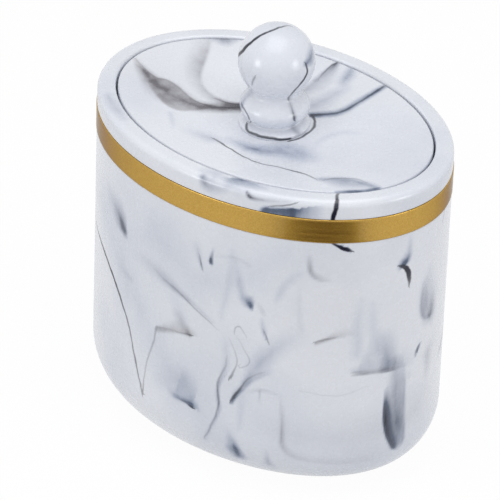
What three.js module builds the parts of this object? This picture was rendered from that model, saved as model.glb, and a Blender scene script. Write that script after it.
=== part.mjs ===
// Oval marble-effect resin jar for cotton swabs: a cast body with a gilt band under its rim,
// a drop-in oval lid with a turned ball knob, and a soft pad under the base.
// Millimetres, +Z up. The origin is the middle of the underside, with the long axis along X.
import * as THREE from 'three';

// Cast body
const LENGTH = 100; // long way across the oval
const WIDTH = 72.4; // short way across the oval
const BODY_HEIGHT = 91; // underside of the casting to the crest of the rim
const BASE_ROUND = 16.5; // rounding where the wall turns under
const FLOOR_THICK = 7;
const FLOOR_ROUND = 9; // cavity wall into cavity floor
const RIM_WIDTH = 4.8; // land between the outside and the lid's rebate
const RIM_OUTER_ROUND = 1.8;
const RIM_INNER_ROUND = 0.8;
const LEDGE_WIDTH = 2.6; // shelf in the rebate that carries the lid
const LEDGE_ROUND = 0.8;

// Gilt band in its groove
const BAND_DROP = 5.3; // crest of the rim down to the band
const BAND_HEIGHT = 6.7;
const BAND_THICK = 0.8;
const BAND_PROUD = 0.15;
const BAND_ROUND = 0.3;

// Lid
const LID_THICK = 8.2; // at its edge
const LID_GAP = 0.5; // all round, between lid and rebate
const LID_SUNK = 0.3; // top of the lid below the crest of the rim
const LID_TOP_ROUND = 0.5;
const LID_UNDER_ROUND = 0.8;
const LID_DISH = 2.8; // dip of the top from its edge to the knob
const SEAT_MARGIN = 1; // flat left bare round the knob's foot

// Turned knob. A corner is where two slopes would meet without its rounding.
const FOOT_R = 9.1;
const FOOT_EDGE = 0.7; // height of the foot's edge
const FOOT_ROUND = 0.4;
const PINCH_R = 6.5; // corner between foot and bead
const PINCH_RISE = 1; // foot's edge up to that corner
const PINCH_ROUND = 0.5;
const BEAD_R = 10; // corner of the bead
const BEAD_RISE = 3.5;
const BEAD_ROUND = 3;
const NECK_RISE = 4.9; // bead's corner up to the neck's
const NECK_ROUND = 1.6;
const NECK_RUN = 2; // straight run from the neck's corner to the ball
const BALL_R = 9.8;
const BALL_LOW = (42 * Math.PI) / 180; // angle below the ball's middle where the run meets it

// Fixing: brass insert in the knob, pan-head screw and washer under the lid
const SCREW_R = 2; // M4
const SCREW_REACH = 6; // length of the screw inside the insert
const HEAD_R = 3.9;
const HEAD_THICK = 2;
const HEAD_ROUND = 1;
const WASHER_R = 4.5;
const WASHER_THICK = 0.6;
const INSERT_WALL = 1.2;
const INSERT_LENGTH = 8;
const INSERT_FLANGE = 0.6; // flange beyond the insert's barrel
const FLANGE_THICK = 0.8;

// Pad under the base
const PAD_THICK = 2;
const PAD_PROUD = 1;
const PAD_MARGIN = 3; // flat of the underside left bare round the pad
const PAD_ROUND = 0.4;

// Clearances and facets
const SEAT = 0.3; // bonded, threaded and resting faces
const OVAL_SIDES = 60;
const ROUND_SIDES = 32;
const DISH_STEPS = 6;
const FACET = 0.08; // flat of a facet inside the true curve
const SAME_POINT = 1e-6;

// Heights and insets worked out from the sizes above
const baseZ = PAD_PROUD;
const rimZ = baseZ + BODY_HEIGHT;
const floorZ = baseZ + FLOOR_THICK;
const wall = RIM_WIDTH + LEDGE_WIDTH;
const lidTopZ = rimZ - LID_SUNK;
const lidUnderZ = lidTopZ - LID_THICK;
const ledgeZ = lidUnderZ - SEAT;
const lidInset = RIM_WIDTH + LID_GAP;
const bandTopZ = rimZ - BAND_DROP;
const bandUnderZ = bandTopZ - BAND_HEIGHT;
const bandBackInset = BAND_THICK - BAND_PROUD;
const padInset = BASE_ROUND + PAD_MARGIN;
const padTopZ = PAD_THICK;
const knobSeatZ = lidTopZ - LID_DISH;
const footZ = knobSeatZ + SEAT;
const boreR = SCREW_R + SEAT;
const insertR = boreR + INSERT_WALL;
const flangeR = insertR + INSERT_FLANGE;
const counterboreZ = lidUnderZ + SEAT + HEAD_THICK + SEAT + WASHER_THICK + SEAT;
const counterboreR = WASHER_R + SEAT;

// Points along an arc about a centre, by angle, stretched to two half-axes.
function arc(centreX, centreZ, halfX, halfZ, from, to) {
  const step = 2 * Math.acos(1 - FACET / Math.max(halfX, halfZ));
  const steps = Math.max(2, Math.ceil(Math.abs(to - from) / step));
  const points = [];
  for (let i = 0; i <= steps; i++) {
    const angle = from + ((to - from) * i) / steps;
    points.push(new THREE.Vector2(centreX + halfX * Math.cos(angle), centreZ + halfZ * Math.sin(angle)));
  }
  return points;
}

// Turns corners [x, z, round] into points: a corner with a round becomes a tangent arc,
// and points that fall together are kept once.
function outline(corners) {
  const count = corners.length;
  const points = corners.flatMap(([x, z, round], i) => {
    const here = new THREE.Vector2(x, z);
    if (!round) return [here];
    const [beforeX, beforeZ] = corners[(i + count - 1) % count];
    const [afterX, afterZ] = corners[(i + 1) % count];
    const back = new THREE.Vector2(beforeX, beforeZ).sub(here).normalize();
    const ahead = new THREE.Vector2(afterX, afterZ).sub(here).normalize();
    const half = Math.acos(back.dot(ahead)) / 2;
    const centre = back.clone().add(ahead).normalize().multiplyScalar(round / Math.sin(half)).add(here);
    const start = back.multiplyScalar(round / Math.tan(half)).add(here).sub(centre);
    const end = ahead.multiplyScalar(round / Math.tan(half)).add(here).sub(centre);
    const turn = Math.atan2(start.cross(end), start.dot(end));
    return arc(centre.x, centre.y, round, round, start.angle(), start.angle() + turn);
  });
  return points.filter((point, i) => i === 0 || point.distanceTo(points[i - 1]) > SAME_POINT);
}

// One ring of the oval at a height, with both half-axes shorter by the inset.
function ovalRing(inset, z) {
  const ring = [];
  for (let i = 0; i < OVAL_SIDES; i++) {
    const angle = (2 * Math.PI * i) / OVAL_SIDES;
    const x = (LENGTH / 2 - inset) * Math.cos(angle);
    const y = (WIDTH / 2 - inset) * Math.sin(angle);
    ring.push(new THREE.Vector3(x, y, z));
  }
  return ring;
}

// A round ring with as many points as the oval has, for a round hole in an oval plate.
function roundRing(radius, z) {
  return ovalRing(0, z).map((point) => {
    const angle = Math.atan2(point.y, point.x);
    return new THREE.Vector3(radius * Math.cos(angle), radius * Math.sin(angle), z);
  });
}

// Skins a stack of rings into one closed surface. The stack runs up the outside. A loop joins
// its last ring to its first, and an open stack is closed by a flat fan at each end.
function loft(rings, isLoop) {
  const points = rings.flat();
  const faces = [];
  const bands = isLoop ? rings.length : rings.length - 1;
  for (let band = 0; band < bands; band++) {
    const low = band * OVAL_SIDES;
    const high = ((band + 1) % rings.length) * OVAL_SIDES;
    for (let i = 0; i < OVAL_SIDES; i++) {
      const next = (i + 1) % OVAL_SIDES;
      faces.push(low + i, low + next, high + next);
      faces.push(low + i, high + next, high + i);
    }
  }
  if (!isLoop) {
    const last = (rings.length - 1) * OVAL_SIDES;
    const firstCentre = points.push(new THREE.Vector3(0, 0, rings[0][0].z)) - 1;
    const lastCentre = points.push(new THREE.Vector3(0, 0, rings.at(-1)[0].z)) - 1;
    for (let i = 0; i < OVAL_SIDES; i++) {
      const next = (i + 1) % OVAL_SIDES;
      faces.push(firstCentre, next, i);
      faces.push(lastCentre, last + i, last + next);
    }
  }
  const geometry = new THREE.BufferGeometry().setFromPoints(points);
  geometry.setIndex(faces);
  geometry.computeVertexNormals();
  return geometry;
}

// Carries an outline of [inset, z] corners round the oval.
function ovalLoft(corners, isLoop) {
  return loft(outline(corners).map((point) => ovalRing(point.x, point.y)), isLoop);
}

// Turns a list of points (radius, height) about the Z axis.
function turned(points) {
  const geometry = new THREE.LatheGeometry(points, ROUND_SIDES);
  geometry.rotateX(Math.PI / 2);
  return geometry;
}

const object = new THREE.Group();

// Adds one named piece with its own material.
function addPiece(name, geometry, color, roughness, metalness, z = 0) {
  const material = new THREE.MeshStandardMaterial({ color, roughness, metalness });
  const mesh = new THREE.Mesh(geometry, material);
  mesh.name = name;
  mesh.position.z = z;
  object.add(mesh);
}

// Jar body: up the outside past the band's groove, over the rim, down to the ledge and the cavity
const grooveInset = bandBackInset + SEAT;
const padRecessZ = padTopZ + SEAT;
const jarCorners = [
  [padInset - SEAT, padRecessZ],
  [padInset - SEAT, baseZ],
  [0, baseZ, BASE_ROUND],
  [0, bandUnderZ - SEAT],
  [grooveInset, bandUnderZ - SEAT],
  [grooveInset, bandTopZ + SEAT],
  [0, bandTopZ + SEAT],
  [0, rimZ, RIM_OUTER_ROUND],
  [RIM_WIDTH, rimZ, RIM_INNER_ROUND],
  [RIM_WIDTH, ledgeZ],
  [wall, ledgeZ, LEDGE_ROUND],
  [wall, floorZ, FLOOR_ROUND],
  [wall + FLOOR_ROUND, floorZ],
];
addPiece('jar_body', ovalLoft(jarCorners, false), 0xdfe3ea, 0.16, 0);

// Gilt band, a thin closed strip that fills the groove
const bandCorners = [
  [bandBackInset, bandUnderZ],
  [-BAND_PROUD, bandUnderZ, BAND_ROUND],
  [-BAND_PROUD, bandTopZ, BAND_ROUND],
  [bandBackInset, bandTopZ],
];
addPiece('gold_band', ovalLoft(bandCorners, true), 0xb8974c, 0.3, 0.9);

// Pad under the base
const padCorners = [
  [padInset + PAD_ROUND, 0],
  [padInset, 0, PAD_ROUND],
  [padInset, padTopZ],
];
addPiece('base_pad', ovalLoft(padCorners, false), 0x2b2b2d, 0.9, 0);

// Lid: an oval plate whose top dips to a round flat under the knob, with a stepped hole for the fixing
const lidRim = outline([
  [lidInset + LID_UNDER_ROUND, lidUnderZ],
  [lidInset, lidUnderZ, LID_UNDER_ROUND],
  [lidInset, lidTopZ, LID_TOP_ROUND],
  [lidInset + LID_TOP_ROUND, lidTopZ],
]);
const lidEdgeRings = lidRim.map((point) => ovalRing(point.x, point.y));
const dishRings = [];
for (let i = 1; i <= DISH_STEPS; i++) {
  const share = i / DISH_STEPS;
  const z = lidTopZ - (LID_DISH * (1 - Math.cos(Math.PI * share))) / 2;
  const seatRing = roundRing(FOOT_R + SEAT_MARGIN, z);
  const edgeRing = ovalRing(lidInset + LID_TOP_ROUND, z);
  dishRings.push(edgeRing.map((point, j) => point.lerp(seatRing[j], share)));
}
const lidHole = [
  roundRing(boreR, knobSeatZ),
  roundRing(boreR, counterboreZ),
  roundRing(counterboreR, counterboreZ),
  roundRing(counterboreR, lidUnderZ),
];
addPiece('lid_plate', loft([...lidEdgeRings, ...dishRings, ...lidHole], true), 0xe2e6ee, 0.16, 0);

// Knob: foot, bead, neck and ball, with a stepped socket for the insert
const socketR = insertR + SEAT;
const socketTop = INSERT_LENGTH + SEAT;
const flangeSocketR = flangeR + SEAT;
const pinchZ = FOOT_EDGE + PINCH_RISE;
const beadZ = pinchZ + BEAD_RISE;
const neckZ = beadZ + NECK_RISE;
const neckR = BALL_R * Math.cos(BALL_LOW) - NECK_RUN * Math.sin(BALL_LOW);
const ballLowZ = neckZ + NECK_RUN * Math.cos(BALL_LOW);
const ballZ = ballLowZ + BALL_R * Math.sin(BALL_LOW);
const knobOutline = [
  ...outline([
    [0, socketTop],
    [socketR, socketTop],
    [socketR, FLANGE_THICK + SEAT],
    [flangeSocketR, FLANGE_THICK + SEAT],
    [flangeSocketR, 0],
    [FOOT_R, 0],
    [FOOT_R, FOOT_EDGE, FOOT_ROUND],
    [PINCH_R, pinchZ, PINCH_ROUND],
    [BEAD_R, beadZ, BEAD_ROUND],
    [neckR, neckZ, NECK_ROUND],
    [BALL_R * Math.cos(BALL_LOW), ballLowZ],
  ]),
  ...arc(0, ballZ, BALL_R, BALL_R, -BALL_LOW, Math.PI / 2).slice(1),
];
knobOutline.at(-1).x = 0;
addPiece('lid_knob', turned(knobOutline), 0xe4e6ea, 0.14, 0, footZ);

// Threaded insert: a barrel with a flange at the foot of the knob
const insertOutline = [
  new THREE.Vector2(boreR, 0),
  new THREE.Vector2(flangeR, 0),
  new THREE.Vector2(flangeR, FLANGE_THICK),
  new THREE.Vector2(insertR, FLANGE_THICK),
  new THREE.Vector2(insertR, INSERT_LENGTH),
  new THREE.Vector2(boreR, INSERT_LENGTH),
  new THREE.Vector2(boreR, 0),
];
addPiece('knob_insert', turned(insertOutline), 0xb08d45, 0.35, 1, footZ);

// Washer and pan-head screw in the counterbore
const washerZ = counterboreZ - SEAT - WASHER_THICK;
const washerOutline = [
  new THREE.Vector2(boreR, 0),
  new THREE.Vector2(WASHER_R, 0),
  new THREE.Vector2(WASHER_R, WASHER_THICK),
  new THREE.Vector2(boreR, WASHER_THICK),
  new THREE.Vector2(boreR, 0),
];
addPiece('screw_washer', turned(washerOutline), 0xb9bcc0, 0.3, 1, washerZ);

const headTopZ = washerZ - SEAT;
const screwTop = footZ + SCREW_REACH - headTopZ;
const screwOutline = [
  new THREE.Vector2(0, -HEAD_THICK),
  ...arc(HEAD_R - HEAD_ROUND, HEAD_ROUND - HEAD_THICK, HEAD_ROUND, HEAD_ROUND, -Math.PI / 2, 0),
  new THREE.Vector2(HEAD_R, 0),
  new THREE.Vector2(SCREW_R, 0),
  new THREE.Vector2(SCREW_R, screwTop),
  new THREE.Vector2(0, screwTop),
];
addPiece('knob_screw', turned(screwOutline), 0xb4b7bb, 0.3, 1, headTopZ);

export default object;
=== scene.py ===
# %% [markdown]
# # A marble-effect swab jar
#
# This lesson dresses a small oval bathroom jar: a cast resin body with ink veins, a gilt band
# under the rim, and a drop-in lid with a turned ball knob. The measured model gives every place
# and size. Each piece here is a surface worked out with numpy, so that it is smooth enough for a
# glossy finish, and it stands exactly where its measured node stands.

# %% Load the measured frame
import math
from collections import namedtuple

import bpy
import numpy as np
from mathutils import Matrix, Vector


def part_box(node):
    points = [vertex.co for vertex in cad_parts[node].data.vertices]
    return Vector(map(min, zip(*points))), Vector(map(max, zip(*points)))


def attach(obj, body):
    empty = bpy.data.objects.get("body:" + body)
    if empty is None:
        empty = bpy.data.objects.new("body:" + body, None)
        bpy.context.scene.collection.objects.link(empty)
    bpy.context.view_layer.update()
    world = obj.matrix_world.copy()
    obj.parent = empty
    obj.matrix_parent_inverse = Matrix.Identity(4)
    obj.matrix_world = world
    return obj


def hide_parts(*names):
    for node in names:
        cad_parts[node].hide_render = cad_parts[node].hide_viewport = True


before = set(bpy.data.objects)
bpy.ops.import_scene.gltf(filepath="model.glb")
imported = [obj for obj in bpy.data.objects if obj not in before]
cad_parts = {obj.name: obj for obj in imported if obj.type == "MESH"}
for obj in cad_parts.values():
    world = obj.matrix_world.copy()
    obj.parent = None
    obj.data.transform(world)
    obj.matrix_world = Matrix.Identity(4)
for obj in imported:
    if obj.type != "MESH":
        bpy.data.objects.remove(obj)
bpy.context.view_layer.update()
MM = 0.001


def box_mm(node):
    """Lowest and highest corner of a measured node, in millimetres."""
    return tuple(np.array(corner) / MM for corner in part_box(node))


# %% [markdown]
# ## Sizes
#
# Every size could be typed in, but the outer ones come from the boxes of the measured nodes, so
# that the pieces follow the measured model. What a box can't tell, such as a rounding or the width
# of the rim, is written here once, in millimetres.

# %% Sizes of the jar, the lid and the knob
jar_low, jar_high = box_mm("jar_body")
band_low, band_high = box_mm("gold_band")
lid_low, lid_high = box_mm("lid_plate")
knob_low, knob_high = box_mm("lid_knob")
pad_low, pad_high = box_mm("base_pad")
HALF_LONG, HALF_SHORT = jar_high[0], jar_high[1]
BASE_Z, RIM_Z = jar_low[2], jar_high[2]

BASE_ROUND = 16.5
FLOOR_THICK = 7.0
FLOOR_ROUND = 9.0
RIM_WIDTH = 4.8
RIM_OUTER_ROUND = 1.8
RIM_INNER_ROUND = 0.8
LEDGE_WIDTH = 2.6
LEDGE_ROUND = 0.8
SEAT = 0.3
BAND_BACK = 0.65
BAND_LINE = 0.1
LID_DISH = 2.8
LID_ROUND = 0.5
FOOT_R = 9.1
BALL_R = 9.8
BALL_LOW = math.radians(42)
BALL_Z = knob_high[2] - knob_low[2] - BALL_R
print("oval", 2 * HALF_LONG, "by", 2 * HALF_SHORT, "rim at", RIM_Z)

# %% [markdown]
# ## Surfaces from profiles
#
# The jar, the band, the lid's edge and the pad share one idea: a profile carried round an oval.
# A profile is a short list of corners, each with its own rounding. Subdivision could round the
# corners too, but arcs keep the true radius and put the points where the light needs them.

# %% Rounded profiles
ARC_POINTS = 9
TINY_ROUND = 0.35
TINY_ARC_POINTS = 4


def profile(corners, step):
    """Points through corners (x, z, rounding). A rounded corner becomes the arc that touches both
    sides: its centre lies along the corner's bisector at rounding / sin(half the angle). Points on
    arcs and straight stretches are no further apart than the step."""
    rows = [np.array(corners[0][:2], float)]
    for before, here, after in zip(corners, corners[1:], corners[2:]):
        corner = np.array(here[:2], float)
        if here[2] == 0:
            rows.append(corner)
            continue
        back, ahead = (np.array(other[:2], float) - corner for other in (before, after))
        back, ahead = back / np.linalg.norm(back), ahead / np.linalg.norm(ahead)
        half = math.acos(back @ ahead) / 2
        bisector = (back + ahead) / np.linalg.norm(back + ahead)
        centre = corner + bisector * here[2] / math.sin(half)
        spoke = corner + back * here[2] / math.tan(half) - centre
        side = np.sign(back[1] * ahead[0] - back[0] * ahead[1])
        sweep = math.pi - 2 * half
        least = ARC_POINTS if here[2] > TINY_ROUND else TINY_ARC_POINTS
        turn = np.linspace(0, side * sweep, max(least, math.ceil(here[2] * sweep / step) + 1))
        swing = np.stack([spoke[0] * np.cos(turn) - spoke[1] * np.sin(turn),
                          spoke[0] * np.sin(turn) + spoke[1] * np.cos(turn)], axis=1)
        rows.extend(centre + swing)
    rows.append(np.array(corners[-1][:2], float))
    filled = []
    for start, end in zip(rows, rows[1:]):
        count = math.ceil(np.linalg.norm(end - start) / step)
        filled.append(start + (end - start) * np.linspace(0, 1, count, endpoint=False)[:, None])
    return np.vstack(filled + [rows[-1]])


print("a rounded corner has", ARC_POINTS, "points or more, and a tiny one", TINY_ARC_POINTS, "or more")

# %% Lengths round the oval, and rings
# Angles run once round from the back, so that the front lies in the middle of the range.
OVAL_COLUMNS = 400
BACK_ANGLES = (-1.5 * np.pi, 0.5 * np.pi)
FINE_POINTS = 8001
fine_angle = np.linspace(*BACK_ANGLES, FINE_POINTS)
fine_speed = np.hypot(HALF_LONG * np.sin(fine_angle), HALF_SHORT * np.cos(fine_angle))
fine_step = (fine_speed[1:] + fine_speed[:-1]) / 2 * np.diff(fine_angle)
fine_length = np.concatenate([[0], np.cumsum(fine_step)])
fine_length -= np.interp(-0.5 * np.pi, fine_angle, fine_length)
GIRTH = fine_length[-1] - fine_length[0]


def angle_at(length):
    """Angle of the oval at a distance along its edge from the front middle."""
    return np.interp((length - fine_length[0]) % GIRTH + fine_length[0], fine_length, fine_angle)


def oval_grid(rows, angle):
    """Carries profile rows (inset, z) round the oval: x is (half length - inset) times the cosine
    and y is (half width - inset) times the sine of the column's angle."""
    inset, z = rows[:, :1], rows[:, 1:]
    x = (HALF_LONG - inset) * np.cos(angle)
    y = (HALF_SHORT - inset) * np.sin(angle)
    return np.stack([x, y, np.broadcast_to(z, x.shape)], axis=-1)


def round_grid(rows, columns):
    """Turns profile rows (radius, z) about the upright axis, from the back round the front."""
    angle = np.linspace(*BACK_ANGLES, columns, endpoint=False)
    x = rows[:, :1] * np.cos(angle)
    y = rows[:, :1] * np.sin(angle)
    return np.stack([x, y, np.broadcast_to(rows[:, 1:], x.shape)], axis=-1)


even_angle = angle_at(np.linspace(0, GIRTH, OVAL_COLUMNS, endpoint=False))
print("girth of the oval", round(GIRTH, 1), "mm")

# %% Skin a grid into a mesh
SHARP = math.radians(40)


def skin(name, grid, loop=False, poles=(None, None), fields=None):
    """Joins neighbouring points of a grid (rows, columns, xyz) in millimetres into quads that close
    round the columns. A loop also joins the last row to the first. A pole closes the first or the
    last row with a fan to one point. Fields are numbers for each grid point, kept on the mesh."""
    rows, columns = grid.shape[:2]
    index = np.arange(rows * columns).reshape(rows, columns)
    low, high = (index, np.roll(index, -1, axis=0)) if loop else (index[:-1], index[1:])
    quads = np.stack([low, np.roll(low, -1, axis=1), np.roll(high, -1, axis=1), high], axis=-1)
    points, faces = [grid.reshape(-1, 3)], quads.reshape(-1, 4).tolist()
    for ring, pole, flip in ((index[0], poles[0], True), (index[-1], poles[1], False)):
        if pole is not None:
            tip = np.full(columns, sum(len(block) for block in points))
            beside = np.roll(ring, -1)
            fan = np.stack([beside, ring, tip] if flip else [ring, beside, tip], axis=-1)
            points.append(np.array([pole], float))
            faces += fan.tolist()
    mesh = bpy.data.meshes.new(name)
    mesh.from_pydata(np.vstack(points) * MM, [], faces)
    mesh.polygons.foreach_set("use_smooth", np.ones(len(mesh.polygons), bool))
    mesh.set_sharp_from_angle(angle=SHARP)
    for field, values in (fields or {}).items():
        layer = mesh.attributes.new(field, "FLOAT_VECTOR", "POINT")
        padded = np.zeros((len(mesh.vertices), 3), np.float32)
        padded[: rows * columns] = values.reshape(-1, 3)
        layer.data.foreach_set("vector", padded.ravel())
    piece = bpy.data.objects.new(name, mesh)
    bpy.context.scene.collection.objects.link(piece)
    print(name, len(mesh.vertices), "points", len(mesh.polygons), "faces")
    return piece


# %% [markdown]
# ## Veins in the resin
#
# Ink is dropped into white resin and drawn out before it sets. That leaves hair lines, darker
# drops at the end of a line, and smears that fade to one side. Noise alone gives clouds, not
# strokes, so each stroke here is given as a path on the surface, in millimetres. Every
# point of the surface keeps its distance to the nearest vein, and how dark the smears make it.
# The finish turns the distance into a line that is crisper than the mesh itself.

# %% Follow a path on a surface
# Each point of a vein is a place (two numbers), the half width and the ink. Each point of a smear
# is a place, its reach to the left and to the right of its way, and how dark it is. Warm is the
# smear's share of brown, and the rest is blue-grey.
Vein = namedtuple("Vein", "path")
Smear = namedtuple("Smear", "path warm")
SMOOTHINGS = 4
LEAST_SIZE = 1e-9


def smooth_path(path):
    """Cuts every corner of a path at a quarter and three quarters of its sides, several times."""
    path = np.array(path, float)
    for _ in range(SMOOTHINGS):
        cut = np.stack([0.75 * path[:-1] + 0.25 * path[1:], 0.25 * path[:-1] + 0.75 * path[1:]], axis=1)
        path = np.vstack([path[:1], cut.reshape(-1, path.shape[1]), path[-1:]])
    return path


def normals_of(grid):
    """Normal at each grid point: the cross product of the steps along its row and its column."""
    across = np.roll(grid, -1, axis=1) - np.roll(grid, 1, axis=1)
    along = np.gradient(grid, axis=0)
    return np.cross(across, along).reshape(-1, 3)


def follow(points, normals, path, place, margin):
    """For the points near a path: their numbers, their distance to it, whether they lie left of
    the way that it runs, and its own columns after the place, read at the nearest spot."""
    path = smooth_path(path)
    way = place(path[:, :2])
    inside = (points > way.min(axis=0) - margin) & (points < way.max(axis=0) + margin)
    chosen = np.flatnonzero(inside.all(axis=1))
    step = np.diff(way, axis=0)
    size = np.maximum((step**2).sum(axis=1), LEAST_SIZE)
    offset = points[chosen][:, None] - way[:-1]
    share = np.clip((offset * step).sum(axis=2) / size, 0, 1)
    distance = np.linalg.norm(offset - share[..., None] * step, axis=2)
    nearest = distance.argmin(axis=1)
    pick = np.arange(len(chosen)), nearest
    turn = np.cross(step[nearest], offset[pick])
    left = (turn * normals[chosen]).sum(axis=1) >= 0
    part = share[pick][:, None]
    own = path[nearest, 2:] * (1 - part) + path[nearest + 1, 2:] * part
    return chosen, distance[pick], left, own.T


print("paths are smoothed", SMOOTHINGS, "times")

# %% Draw strokes on a surface
VEIN_MARGIN = 3.0
FADE = 1.1
FAR = 40.0
LEAST_WASH = 1e-6


def draw_veins(grid, veins, smears, place):
    """Gives each grid point two triples. The first holds the signed distance to the nearest vein,
    that vein's half width there, and its ink. The second holds how dark the smears make the point,
    their brown share, and the distance to the vein's edge. A smear is dark along its path and fades
    over its reach on that side. Two smears together leave (1 - one) times (1 - other) of the white.
    Place turns path points on the surface into xyz."""
    points, normals = grid.reshape(-1, 3), normals_of(grid)
    line = np.zeros((len(points), 3))
    edge = np.full(len(points), FAR)
    for vein in veins:
        chosen, gap, left, (half, ink) = follow(points, normals, vein.path, place, VEIN_MARGIN)
        closer = gap - half < edge[chosen]
        kept = chosen[closer]
        edge[kept] = (gap - half)[closer]
        line[kept] = np.stack([np.where(left, gap, -gap), half, ink], axis=1)[closer]
    bare, brown, total = np.ones(len(points)), np.zeros(len(points)), np.full(len(points), LEAST_WASH)
    for smear in smears:
        margin = max(max(spot[2:4]) for spot in smear.path)
        chosen, gap, left, own = follow(points, normals, smear.path, place, margin)
        reach_left, reach_right, dark = own
        wash = np.clip(1 - gap / np.where(left, reach_left, reach_right), 0, 1) ** FADE * dark
        bare[chosen] *= 1 - wash
        brown[chosen] += wash * smear.warm
        total[chosen] += wash
    return {"vein_line": line, "vein_stain_and_shade": np.stack([1 - bare, brown / total, edge], axis=1)}


print("a vein is drawn up to", VEIN_MARGIN, "mm away, and a smear over its own reach")

# %% [markdown]
# ## The jar
#
# The body is one casting: a flat underside with a recess for the pad, a wall that turns under in
# a wide rounding, a groove for the band, a rim, a ledge for the lid and a smooth cavity. It could
# be cut out of a block with Booleans, but those leave long thin faces that show in a gloss. So one
# profile runs up the outside, over the rim and down inside, and is carried round the oval.

# %% Veins on the outside of the jar
# Places are (distance round the wall from the front middle, height), both in millimetres, and past
# the crest of the rim the height runs on inwards.
JAR_VEINS = [
    # The long thread at the left, its way back up, and the flag's hem
    Vein([(-45, 53.5, 0.22, 0.6), (-38, 51.5, 0.3, 0.9), (-32, 49, 0.4, 1), (-27.5, 46, 0.4, 1),
          (-22.5, 40.5, 0.3, 0.9), (-18.5, 34, 0.22, 0.7), (-16.5, 27, 0.22, 0.7),
          (-13, 17.5, 0.2, 0.65)]),
    Vein([(-13, 17.5, 0.18, 0.55), (-12.5, 23.5, 0.16, 0.35), (-11.5, 29, 0.16, 0.32),
          (-9, 36.5, 0.25, 0.35), (-8.3, 41, 0.3, 0.35)]),
    Vein([(-8, 41, 0.2, 0.25), (-3.5, 42.5, 0.12, 0.2), (0, 43, 0.14, 0.25), (3.2, 43.4, 0.22, 0.65)]),
    # The long diagonal and the tick above it
    Vein([(-9.5, 58, 0.15, 0.08), (-4, 56, 0.2, 0.25), (1, 54, 0.2, 0.4), (7.5, 50.5, 0.16, 0.35),
          (11, 48.5, 0.1, 0.15)]),
    Vein([(5, 69, 0.1, 0.2), (5.5, 66.5, 0.16, 0.6), (6, 64.6, 0.1, 0.4)]),
    # Loops at the front
    Vein([(23.6, 51.5, 0.12, 0.3), (24.8, 48.3, 0.14, 0.5)]),
    Vein([(15.8, 49, 0.12, 0.3), (16, 51, 0.13, 0.4), (17, 51.5, 0.13, 0.4), (17.6, 51, 0.12, 0.3),
          (19, 48.5, 0.1, 0.15)]),
    Vein([(16.7, 47.5, 0.1, 0.1), (18.5, 44.5, 0.12, 0.2), (20.4, 42.2, 0.14, 0.28),
          (20.2, 40.5, 0.14, 0.28), (17.8, 38.8, 0.12, 0.24)]),
    Vein([(14.4, 46.8, 0.1, 0.1), (16.4, 43.2, 0.12, 0.2), (17, 40.2, 0.14, 0.3), (16, 37.5, 0.16, 0.4),
          (15, 34.8, 0.3, 0.6)]),
    # Two long strokes that run down under the loops, and the fan's tip
    Vein([(14, 41, 0.2, 0.12), (13.3, 37, 0.2, 0.25), (11.7, 33, 0.25, 0.42), (11.7, 29, 0.25, 0.5),
          (12.4, 25.3, 0.22, 0.45), (10.7, 20, 0.2, 0.3), (8.2, 14, 0.22, 0.3)]),
    Vein([(23.8, 39, 0.12, 0.15), (20, 36, 0.15, 0.3), (18, 33, 0.25, 0.6), (16.4, 30.3, 0.3, 0.85),
          (15.4, 28, 0.22, 0.7)]),
    Vein([(1, 22.4, 0.15, 0.4), (2.8, 22.4, 0.2, 0.6), (4.3, 21.8, 0.25, 0.95)]),
    # Hair lines and drops at the right
    Vein([(33.5, 35, 0.1, 0.1), (39.5, 34, 0.12, 0.13), (45, 34, 0.12, 0.13), (50.5, 36, 0.1, 0.06)]),
    Vein([(36.7, 50.2, 0.2, 0.35), (38.6, 51.2, 0.18, 0.35), (41.7, 51.8, 0.14, 0.25)]),
    Vein([(39.4, 80.4, 0.2, 0.9), (42, 78.8, 0.4, 1), (44, 78, 0.5, 1), (44.6, 77.7, 0.3, 0.8)]),
    Vein([(58.2, 70.8, 0.25, 0.85), (59.6, 70, 0.7, 1), (60.8, 68.4, 0.75, 1), (61.4, 66, 0.45, 0.95),
          (61.4, 63.8, 0.1, 0.7)]),
    Vein([(47, 39.7, 0.2, 0.18), (52, 39.9, 0.2, 0.2), (58, 39.2, 0.15, 0.18)]),
    Vein([(66.6, 44, 0.1, 0.4), (65.6, 43, 0.16, 0.8), (64.8, 41.8, 0.1, 0.5)]),
    Vein([(76.5, 82, 0.15, 0.4), (74.5, 76.5, 0.15, 0.35)]),
    # On the rim
    Vein([(43, 97, 0.3, 0.55), (41.6, 95, 0.35, 0.75), (40.7, 92.3, 0.45, 0.95), (40.2, 89.3, 0.55, 1),
          (39.7, 86.4, 0.55, 1)]),
    Vein([(24.2, 88.8, 0.14, 0.5), (27.5, 90, 0.14, 0.7), (30.6, 91, 0.14, 0.6)]),
]
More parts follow.
